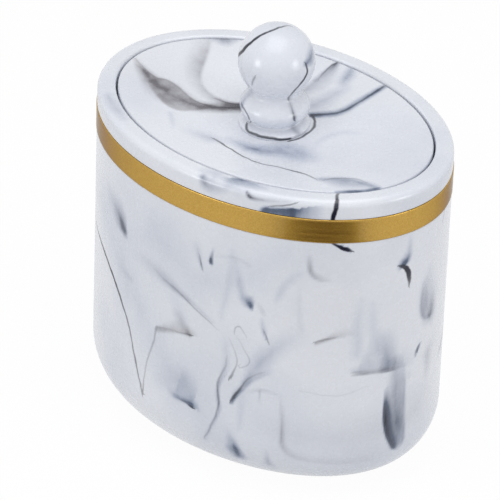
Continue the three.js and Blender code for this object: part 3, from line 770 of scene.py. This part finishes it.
KNOB_SMEARS_AND_SHADE = [
    Smear([(118, 22.5, 3.5, 2, 0.28), (104, 21.5, 3.5, 2.5, 0.48), (89, 20.8, 1.2, 1.5, 0.5)], 0.05),
    Smear([(71, 10.5, 1, 1, 0.2), (69.5, 8, 1.2, 1, 0.2), (71.5, 6, 1, 1, 0.45)], 0.5),
    Smear([(72, 5, 1.5, 1.5, 0.18), (79.5, 0.8, 2, 1.5, 0.3)], 0.4),
    # Painted shade: a soft blue-grey darkening down the left side of the neck and onto the bead.
    Smear([(-18, 12.5, 1.2, 3, 0.12), (-40, 8.3, 1.5, 2.5, 0.22), (-34, 6.6, 1.5, 3, 0.3)], 0.1),
]
print(len(KNOB_VEINS), "veins and", len(KNOB_SMEARS_AND_SHADE), "smears drawn on the knob")

# %% The turned knob
KNOB_COLUMNS = 160
BALL_ROWS = 64
SLACK = 0.01
HOLE_R, HOLE_DEPTH = 3.8, 8.3
FOOT_Z, FOOT_ROUND = 0.7, 0.4
WAIST_R, WAIST_Z, WAIST_ROUND = 6.5, 1.7, 0.5
BEAD_R, BEAD_Z, BEAD_ROUND = 10.0, 5.2, 3.0
NECK_Z, NECK_ROUND, NECK_RUN = 10.1, 1.6, 2.0
FOOT_DROP = knob_low[2] - SEAT_Z
ball_low_r, ball_low_z = BALL_R * math.cos(BALL_LOW), BALL_Z - BALL_R * math.sin(BALL_LOW)
neck_r = ball_low_r - NECK_RUN * math.sin(BALL_LOW)
stem_rows = profile([
    (HOLE_R, HOLE_DEPTH, 0), (HOLE_R, -FOOT_DROP, 0), (FOOT_R, -FOOT_DROP, EDGE_ROUND),
    (FOOT_R, FOOT_Z, FOOT_ROUND), (WAIST_R, WAIST_Z, WAIST_ROUND), (BEAD_R, BEAD_Z, BEAD_ROUND),
    (neck_r, NECK_Z, NECK_ROUND), (ball_low_r, ball_low_z, 0),
], step=0.4)
ball_angle = np.linspace(-BALL_LOW, math.pi / 2, BALL_ROWS)[1:-1]
ball_rows = np.stack([BALL_R * np.cos(ball_angle), BALL_Z + BALL_R * np.sin(ball_angle)], axis=1)
knob_rows = np.vstack([stem_rows, ball_rows]) + (0, knob_low[2])
knob_side = knob_rows[np.argmax(knob_rows[:, 0] >= FOOT_R - SLACK):]


def on_knob(place):
    """Point of the knob at an angle from the front and a height above its foot."""
    angle = np.radians(place[:, 0] - 90)
    z = place[:, 1] + knob_low[2]
    radius = np.interp(z, knob_side[:, 1], knob_side[:, 0])
    return np.stack([radius * np.cos(angle), radius * np.sin(angle), z], axis=1)


knob_grid = round_grid(knob_rows, KNOB_COLUMNS)
knob_fields = draw_veins(knob_grid, KNOB_VEINS, KNOB_SMEARS_AND_SHADE, on_knob)
knob_poles = ((0, 0, knob_rows[0, 1]), (0, 0, knob_high[2]))
knob = skin("marble_knob", knob_grid, poles=knob_poles, fields=knob_fields)
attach(knob, "lid")
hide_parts("lid_knob")

# %% [markdown]
# ## Finishes
#
# Finishes could be painted as images, but those blur close up. Here they are worked out from the
# place on the object and from what the mesh keeps. One function adds a node with its settings and
# links. Colours are written as the eye sees them, in sRGB hex, and turned to linear light by one
# function. Blender's noise seldom leaves the range from 0.3 to 0.7, so most noises are stretched
# from that range.

# %% Helpers for finishes
NOISE_LOW, NOISE_HIGH = 0.3, 0.7


def linear(colour):
    """Linear red, green, blue and alpha of an sRGB hex colour such as #E3E7EE."""
    share = np.array([int(colour[i:i + 2], 16) for i in (1, 3, 5)]) / 255
    light = np.where(share <= 0.04045, share / 12.92, ((share + 0.055) / 1.055) ** 2.4)
    return (*light.tolist(), 1.0)


def add(tree, kind, inputs=None, **settings):
    """Adds one node of a kind to a tree, sets its own properties, and gives each listed input a
    plain value or a link from another node's output."""
    made = tree.nodes.new(kind)
    for name, value in settings.items():
        setattr(made, name, value)
    for key, value in (inputs or {}).items():
        if isinstance(value, bpy.types.NodeSocket):
            tree.links.new(value, made.inputs[key])
        else:
            made.inputs[key].default_value = value
    return made


def finish(name):
    """A new material with an empty tree and its output node."""
    material = bpy.data.materials.new(name)
    material.use_nodes = True
    material.node_tree.nodes.clear()
    return material, material.node_tree, add(material.node_tree, "ShaderNodeOutputMaterial")


print("white in linear light:", linear("#FFFFFF"))

# %% [markdown]
# ### Cast marble-effect resin
#
# Polyester casting resin, poured white and streaked with ink, then polished. It looks milky and
# slightly blue, with a clear glossy skin. Broad clouds come from noise about 30 mm across. The
# veins come from the distances kept on the mesh, pushed about by a finer noise so that no edge
# is ruled. A smear goes from white through blue-grey or brown to nearly black as it darkens.
# Light scattered under the skin would be truer to resin, but it would soften the fine ink lines, so
# the colour stays on the surface.

# %% Marble resin: patterns
CLOUD_MM = 34.0
STREAK_MM = 3.4
WARP_MM = 5.0
MOTTLE_MM = 2.2
DRAWN_OUT = (1.0, 1.0, 0.3)
resin, tree, output = finish("cast_marble_resin")
place = add(tree, "ShaderNodeTexCoord").outputs["Object"]
drawn = add(tree, "ShaderNodeMapping", {"Vector": place, "Scale": DRAWN_OUT}).outputs[0]
clouds, warp, mottle, streaks = (
    add(tree, "ShaderNodeTexNoise", {"Vector": at, "Scale": 1 / (size * MM), "Detail": detail}).outputs[0]
    for at, size, detail in ((place, CLOUD_MM, 3.0), (place, WARP_MM, 2.0), (place, MOTTLE_MM, 3.0),
                             (drawn, STREAK_MM, 3.0))
)
line_field = add(tree, "ShaderNodeAttribute", attribute_name="vein_line")
line_parts = add(tree, "ShaderNodeSeparateXYZ", {0: line_field.outputs["Vector"]})
# The smears' field holds the ink smears, and on the knob also the painted shade down the neck.
stain_and_shade_field = add(tree, "ShaderNodeAttribute", attribute_name="vein_stain_and_shade")
stain_and_shade_parts = add(tree, "ShaderNodeSeparateXYZ", {0: stain_and_shade_field.outputs["Vector"]})
print("patterns of", CLOUD_MM, WARP_MM, STREAK_MM, "and", MOTTLE_MM, "mm")

# %% Marble resin: the ink of the veins
WARP_PUSH = 0.25
THIN, THICK = 0.75, 1.25
EDGE_OUT, EDGE_IN = -0.3, 0.18
NEAR, TOO_FAR = 0.6, 0.9
push = add(tree, "ShaderNodeMapRange", {0: warp, 1: NOISE_LOW, 2: NOISE_HIGH, 3: -WARP_PUSH, 4: WARP_PUSH})
moved = add(tree, "ShaderNodeMath", {0: line_parts.outputs[0], 1: push.outputs[0]}, operation="ADD")
across = add(tree, "ShaderNodeMath", {0: moved.outputs[0]}, operation="ABSOLUTE")
swell = add(tree, "ShaderNodeMapRange", {0: mottle, 1: NOISE_LOW, 2: NOISE_HIGH, 3: THIN, 4: THICK})
half = add(tree, "ShaderNodeMath", {0: line_parts.outputs[1], 1: swell.outputs[0]}, operation="MULTIPLY")
depth = add(tree, "ShaderNodeMath", {0: half.outputs[0], 1: across.outputs[0]}, operation="SUBTRACT")
crisp = add(tree, "ShaderNodeMapRange", {0: depth.outputs[0], 1: EDGE_OUT, 2: EDGE_IN, 3: 0.0, 4: 1.0},
            interpolation_type="SMOOTHSTEP")
near = add(tree, "ShaderNodeMapRange", {0: stain_and_shade_parts.outputs[2], 1: NEAR, 2: TOO_FAR, 3: 1.0, 4: 0.0})
shown = add(tree, "ShaderNodeMath", {0: crisp.outputs[0], 1: near.outputs[0]}, operation="MULTIPLY")
ink = add(tree, "ShaderNodeMath", {0: shown.outputs[0], 1: line_parts.outputs[2]}, operation="MULTIPLY")
print("a vein's edge is", EDGE_IN - EDGE_OUT, "mm soft")

# %% Marble resin: colours
WHITES = ("#E6E9F0", "#D2D7E3")
COOL_TONES = ("#8497BA", "#596780", "#181F2B")
WARM_TONES = ("#9A9190", "#6C6463", "#2A2526")
INK = "#11162B"
FAINT, STRONG = 0.75, 1.15
FULL_COVER = 0.5
CLOUD_LOW, CLOUD_HIGH, CLOUD_MOST = 0.42, 0.7, 0.7
SMOOTH_SKIN, DULL_SKIN = 0.24, 0.3
uneven = add(tree, "ShaderNodeMapRange", {0: streaks, 1: NOISE_LOW, 2: NOISE_HIGH, 3: FAINT, 4: STRONG})
dark = add(tree, "ShaderNodeMath", {0: stain_and_shade_parts.outputs[0], 1: uneven.outputs[0]}, operation="MULTIPLY",
           use_clamp=True)
tones = []
for colours in (COOL_TONES, WARM_TONES):
    ramp = add(tree, "ShaderNodeValToRGB", {0: dark.outputs[0]})
    ramp.color_ramp.elements.new(0.5)
    for stop, colour in zip(ramp.color_ramp.elements, colours):
        stop.color = linear(colour)
    tones.append(ramp.outputs[0])
tone = add(tree, "ShaderNodeMix", {0: stain_and_shade_parts.outputs[1], 6: tones[0], 7: tones[1]}, data_type="RGBA")
cover = add(tree, "ShaderNodeMapRange", {0: dark.outputs[0], 1: 0.0, 2: FULL_COVER, 3: 0.0, 4: 1.0})
cloud_share = add(tree, "ShaderNodeMapRange", {
    0: clouds, 1: CLOUD_LOW, 2: CLOUD_HIGH, 3: 0.0, 4: CLOUD_MOST,
})
white = add(tree, "ShaderNodeMix", {0: cloud_share.outputs[0], 6: linear(WHITES[0]), 7: linear(WHITES[1])},
            data_type="RGBA")
stained_and_shaded = add(tree, "ShaderNodeMix", {0: cover.outputs[0], 6: white.outputs[2], 7: tone.outputs[2]},
              data_type="RGBA")
inked = add(tree, "ShaderNodeMix", {0: ink.outputs[0], 6: stained_and_shaded.outputs[2], 7: linear(INK)},
            data_type="RGBA")
skin_rough = add(tree, "ShaderNodeMapRange", {
    0: mottle, 1: NOISE_LOW, 2: NOISE_HIGH, 3: SMOOTH_SKIN, 4: DULL_SKIN,
})
shader = add(tree, "ShaderNodeBsdfPrincipled", {
    "Base Color": inked.outputs[2], "Roughness": skin_rough.outputs[0], "IOR": 1.5,
})
tree.links.new(shader.outputs[0], output.inputs["Surface"])
for piece in (jar, lid, knob):
    piece.data.materials.append(resin)
print(resin.name, len(tree.nodes), "nodes")

# %% [markdown]
# ### Gilt band
#
# A brass-coloured metallic lacquer over a thin strip. It is smooth but not a mirror: fine flakes
# and the rolling of the strip blur what it reflects along its length. Bare gold would look too
# yellow where it is seen edge on, so a clear coat and a grey edge tint pale it there.

# %% Gilt lacquer
# Flakes and rolling marks are finer on a real strip, and are drawn as coarse as they need to show.
FLAKE_MM = 0.35
ROLL_MM = 0.5
ROLLED_OUT = (0.03, 0.03, 1.0)
GOLDS = ("#B48C3A", "#C8A450")
EDGE_TINT = "#8C7C70"
SMOOTH_GOLD, DULL_GOLD = 0.3, 0.36
gilt, tree, output = finish("gilt_lacquer")
place = add(tree, "ShaderNodeTexCoord").outputs["Object"]
flake = add(tree, "ShaderNodeTexNoise", {"Vector": place, "Scale": 1 / (FLAKE_MM * MM), "Detail": 2.0})
stretch = add(tree, "ShaderNodeMapping", {"Vector": place, "Scale": ROLLED_OUT})
roll = add(tree, "ShaderNodeTexNoise", {
    "Vector": stretch.outputs[0], "Scale": 1 / (ROLL_MM * MM), "Detail": 2.0,
})
tint = add(tree, "ShaderNodeMapRange", {0: flake.outputs[0], 1: NOISE_LOW, 2: NOISE_HIGH, 3: 0.0, 4: 1.0})
gold = add(tree, "ShaderNodeMix", {0: tint.outputs[0], 6: linear(GOLDS[0]), 7: linear(GOLDS[1])},
           data_type="RGBA")
gold_rough = add(tree, "ShaderNodeMapRange", {
    0: roll.outputs[0], 1: NOISE_LOW, 2: NOISE_HIGH, 3: SMOOTH_GOLD, 4: DULL_GOLD,
})
grain = add(tree, "ShaderNodeBump", {"Height": roll.outputs[0], "Strength": 0.02, "Distance": 0.05 * MM})
shader = add(tree, "ShaderNodeBsdfPrincipled", {
    "Base Color": gold.outputs[2], "Metallic": 1.0, "Roughness": gold_rough.outputs[0],
    "Normal": grain.outputs[0], "Coat Weight": 0.5, "Coat Roughness": 0.12,
    "Specular Tint": linear(EDGE_TINT),
})
tree.links.new(shader.outputs[0], output.inputs["Surface"])
band.data.materials.append(gilt)
print(gilt.name, len(tree.nodes), "nodes")

# %% [markdown]
# ### Pad and fixings
#
# The pad is closed-cell EVA foam: matt, with fine cells that show as a soft pebble. The screw and
# the washer are zinc-plated steel, a cool grey with a soft sheen, and the insert is turned brass, a
# warm yellow. The fixings could be modelled again, but they are small and hidden, so their measured
# meshes only get a finish.

# %% Foam, zinc and brass
# Cells and turning marks are finer on the real pieces, and are drawn as coarse as they need to show.
CELL_MM = 0.6
TURN_MM = 0.4
FOAMS = ("#C9C9C6", "#B2B2AF")
SMOOTH_METAL, DULL_METAL = 0.24, 0.4
foam, tree, output = finish("eva_foam")
place = add(tree, "ShaderNodeTexCoord").outputs["Object"]
cells = add(tree, "ShaderNodeTexVoronoi", {"Vector": place, "Scale": 1 / (CELL_MM * MM)})
to_centre = cells.outputs["Distance"]
shade = add(tree, "ShaderNodeMix", {0: to_centre, 6: linear(FOAMS[0]), 7: linear(FOAMS[1])},
            data_type="RGBA")
pebble = add(tree, "ShaderNodeBump", {"Height": to_centre, "Strength": 0.4, "Distance": 0.1 * MM})
shader = add(tree, "ShaderNodeBsdfPrincipled", {
    "Base Color": shade.outputs[2], "Roughness": 0.85, "Normal": pebble.outputs[0],
})
tree.links.new(shader.outputs[0], output.inputs["Surface"])
pad.data.materials.append(foam)

for name, bright, dull, nodes in (
    ("zinc_plated_steel", "#C9CDD2", "#A9ADB3", ("knob_screw", "screw_washer")),
    ("turned_brass", "#CDAA5E", "#B08B3F", ("knob_insert",)),
):
    metal, tree, output = finish(name)
    place = add(tree, "ShaderNodeTexCoord").outputs["Object"]
    lathe = add(tree, "ShaderNodeTexNoise", {"Vector": place, "Scale": 1 / (TURN_MM * MM), "Detail": 2.0})
    tone = add(tree, "ShaderNodeMix", {0: lathe.outputs[0], 6: linear(dull), 7: linear(bright)},
               data_type="RGBA")
    sheen = add(tree, "ShaderNodeMapRange", {
        0: lathe.outputs[0], 1: NOISE_LOW, 2: NOISE_HIGH, 3: SMOOTH_METAL, 4: DULL_METAL,
    })
    shader = add(tree, "ShaderNodeBsdfPrincipled", {
        "Base Color": tone.outputs[2], "Metallic": 1.0, "Roughness": sheen.outputs[0],
    })
    tree.links.new(shader.outputs[0], output.inputs["Surface"])
    for node in nodes:
        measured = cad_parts[node].data.materials
        measured.clear()
        measured.append(metal)
    print(metal.name, "on", *nodes)

# %% [markdown]
# ## Camera
#
# A long lens from well above the rim, rolled by about two degrees. A lens shift could place the jar
# in the frame, but an aim point a little off the jar's middle does it more simply.

# %% Camera
CAMERA_AZIMUTH = math.radians(36.8)
CAMERA_ELEVATION = math.radians(33.0)
CAMERA_ROLL = math.radians(2.15)
CAMERA_DISTANCE = 1265.0
PIXELS_PER_MM = 3.864
IMAGE_PIXELS = 500
MIDDLE_PIXEL = (268.5, 263.8)
SENSOR = 36.0
CLIP = (0.05, 20.0)
back = Vector((math.sin(CAMERA_AZIMUTH) * math.cos(CAMERA_ELEVATION),
               -math.cos(CAMERA_AZIMUTH) * math.cos(CAMERA_ELEVATION), math.sin(CAMERA_ELEVATION)))
level = Vector((math.cos(CAMERA_AZIMUTH), math.sin(CAMERA_AZIMUTH), 0))
upright = back.cross(level)
right = level * math.cos(CAMERA_ROLL) + upright * math.sin(CAMERA_ROLL)
up = upright * math.cos(CAMERA_ROLL) - level * math.sin(CAMERA_ROLL)
aim = Vector((0, 0, RIM_Z / 2))
aim += right * (IMAGE_PIXELS / 2 - MIDDLE_PIXEL[0]) / PIXELS_PER_MM
aim += up * (MIDDLE_PIXEL[1] - IMAGE_PIXELS / 2) / PIXELS_PER_MM
lens = bpy.data.cameras.new("camera")
lens.sensor_width = SENSOR
lens.lens = PIXELS_PER_MM * CAMERA_DISTANCE * SENSOR / IMAGE_PIXELS
lens.clip_start, lens.clip_end = CLIP
camera = bpy.data.objects.new("camera", lens)
turn = Matrix((right, up, back)).transposed().to_4x4()
camera.matrix_world = Matrix.Translation((aim + back * CAMERA_DISTANCE) * MM) @ turn
bpy.context.scene.collection.objects.link(camera)
bpy.context.scene.camera = camera
print("lens", round(lens.lens, 1), "mm")

# %% [markdown]
# ## Light and floor
#
# An image of a studio could light the jar, but lamps can be put where the reflections need them. A
# soft box stands low on each side, which leaves the two soft spots on the ball, and a wide one hangs
# above, which makes the lid the lightest face. The floor and the surroundings look white to the
# camera and in reflections, but give only a plain level of light, and the floor keeps a trace of the
# jar's shadow. From below the floor is clear, so that the underside can be seen. A brown card lies
# in front of the jar. Only reflections see it: it puts the dark patch on the band.

# %% Lamps
SIDE_TURN = 58
LAMP_AIM = Vector((0, 0, 0.06))


def soft_box(name, azimuth, elevation, distance, width, height, watts):
    """A rectangular lamp that faces the jar's middle. The azimuth and the elevation are in degrees,
    from the front and from the level, and the sizes are in metres."""
    a, e = math.radians(azimuth), math.radians(elevation)
    way = Vector((math.sin(a) * math.cos(e), -math.cos(a) * math.cos(e), math.sin(e)))
    light = bpy.data.lights.new(name, "AREA")
    light.shape, light.size, light.size_y, light.energy = "RECTANGLE", width, height, watts
    lamp = bpy.data.objects.new(name, light)
    lamp.location = LAMP_AIM + way * distance
    lamp.rotation_mode = "QUATERNION"
    lamp.rotation_quaternion = way.to_track_quat("Z", "Y")
    bpy.context.scene.collection.objects.link(lamp)


seen_from = math.degrees(CAMERA_AZIMUTH)
for name, aside in (("left_box", -SIDE_TURN), ("right_box", SIDE_TURN)):
    soft_box(name, seen_from + aside, elevation=10, distance=0.8, width=0.2, height=0.25, watts=1.3)
soft_box("top_box", azimuth=20, elevation=80, distance=0.9, width=0.8, height=0.8, watts=4.5)
print("soft boxes", SIDE_TURN, "degrees to each side of the camera, and one above")

# %% Surroundings
AMBIENT = 0.43


def white_share(tree, plain, white):
    """Output that is the plain value for light on the object, and the white value for what the
    camera sees, directly, mirrored or through something clear."""
    rays = add(tree, "ShaderNodeLightPath")
    seen = add(tree, "ShaderNodeMath", {0: rays.outputs["Is Camera Ray"], 1: rays.outputs["Is Glossy Ray"]},
               operation="MAXIMUM")
    seen = add(tree, "ShaderNodeMath", {0: seen.outputs[0], 1: rays.outputs["Is Transmission Ray"]},
               operation="MAXIMUM")
    return add(tree, "ShaderNodeMapRange", {0: seen.outputs[0], 3: plain, 4: white}).outputs[0]


world = bpy.data.worlds.new("studio")
world.use_nodes = True
tree = world.node_tree
tree.nodes.clear()
brightness = white_share(tree, AMBIENT, 1.0)
sky = add(tree, "ShaderNodeBackground", {"Color": (1, 1, 1, 1), "Strength": brightness})
add(tree, "ShaderNodeOutputWorld", {"Surface": sky.outputs[0]})
bpy.context.scene.world = world
bpy.context.scene.view_settings.view_transform = "Standard"
print("surroundings give", AMBIENT, "of the white that the camera sees")

# %% Floor and card
FLOOR_HALF, FLOOR_SHEET_Z = 3000, -0.1
FLOOR_MATT, FLOOR_GLOW, FLOOR_WHITE = "#DCDCDC", 1.012, 0.95
FLAG_HALF, FLAG_Z = (60, 75), 1
FLAG_REACH = 185
FLAG_AZIMUTH = CAMERA_AZIMUTH + math.radians(5)
FLAG_BROWN = "#584430"


def sheet_of(name, centre, half_wide, half_deep, turn, z):
    """A flat rectangle that faces up, turned about the upright through its own middle."""
    mesh = bpy.data.meshes.new(name)
    corner = np.array([(-1, -1), (1, -1), (1, 1), (-1, 1)]) * (half_wide, half_deep)
    across, along = np.array([math.cos(turn), math.sin(turn)]), np.array([-math.sin(turn), math.cos(turn)])
    flat = np.array(centre) + corner[:, :1] * across + corner[:, 1:] * along
    mesh.from_pydata(np.column_stack([flat, np.full(4, z)]) * MM, [], [(0, 1, 2, 3)])
    made = bpy.data.objects.new(name, mesh)
    bpy.context.scene.collection.objects.link(made)
    return made


floor = sheet_of("floor", (0, 0), FLOOR_HALF, FLOOR_HALF, 0, FLOOR_SHEET_Z)
paper, tree, output = finish("white_paper")
matt = add(tree, "ShaderNodeBsdfDiffuse", {"Color": linear(FLOOR_MATT)})
glow = add(tree, "ShaderNodeEmission", {"Color": (1, 1, 1, 1), "Strength": FLOOR_GLOW})
whiteness = white_share(tree, 0.0, FLOOR_WHITE)
mixed = add(tree, "ShaderNodeMixShader", {0: whiteness, 1: matt.outputs[0], 2: glow.outputs[0]})
below = add(tree, "ShaderNodeNewGeometry").outputs["Backfacing"]
clear = add(tree, "ShaderNodeBsdfTransparent")
one_sided = add(tree, "ShaderNodeMixShader", {0: below, 1: mixed.outputs[0], 2: clear.outputs[0]})
tree.links.new(one_sided.outputs[0], output.inputs["Surface"])
floor.data.materials.append(paper)

flag_centre = (FLAG_REACH * math.sin(FLAG_AZIMUTH), -FLAG_REACH * math.cos(FLAG_AZIMUTH))
flag = sheet_of("flag", flag_centre, *FLAG_HALF, FLAG_AZIMUTH, FLAG_Z)
flag.visible_camera = flag.visible_diffuse = flag.visible_shadow = False
card, tree, output = finish("dark_card")
felt = add(tree, "ShaderNodeBsdfDiffuse", {"Color": linear(FLAG_BROWN)})
tree.links.new(felt.outputs[0], output.inputs["Surface"])
flag.data.materials.append(card)
print("floor at", FLOOR_SHEET_Z, "mm and card at", FLAG_Z, "mm")
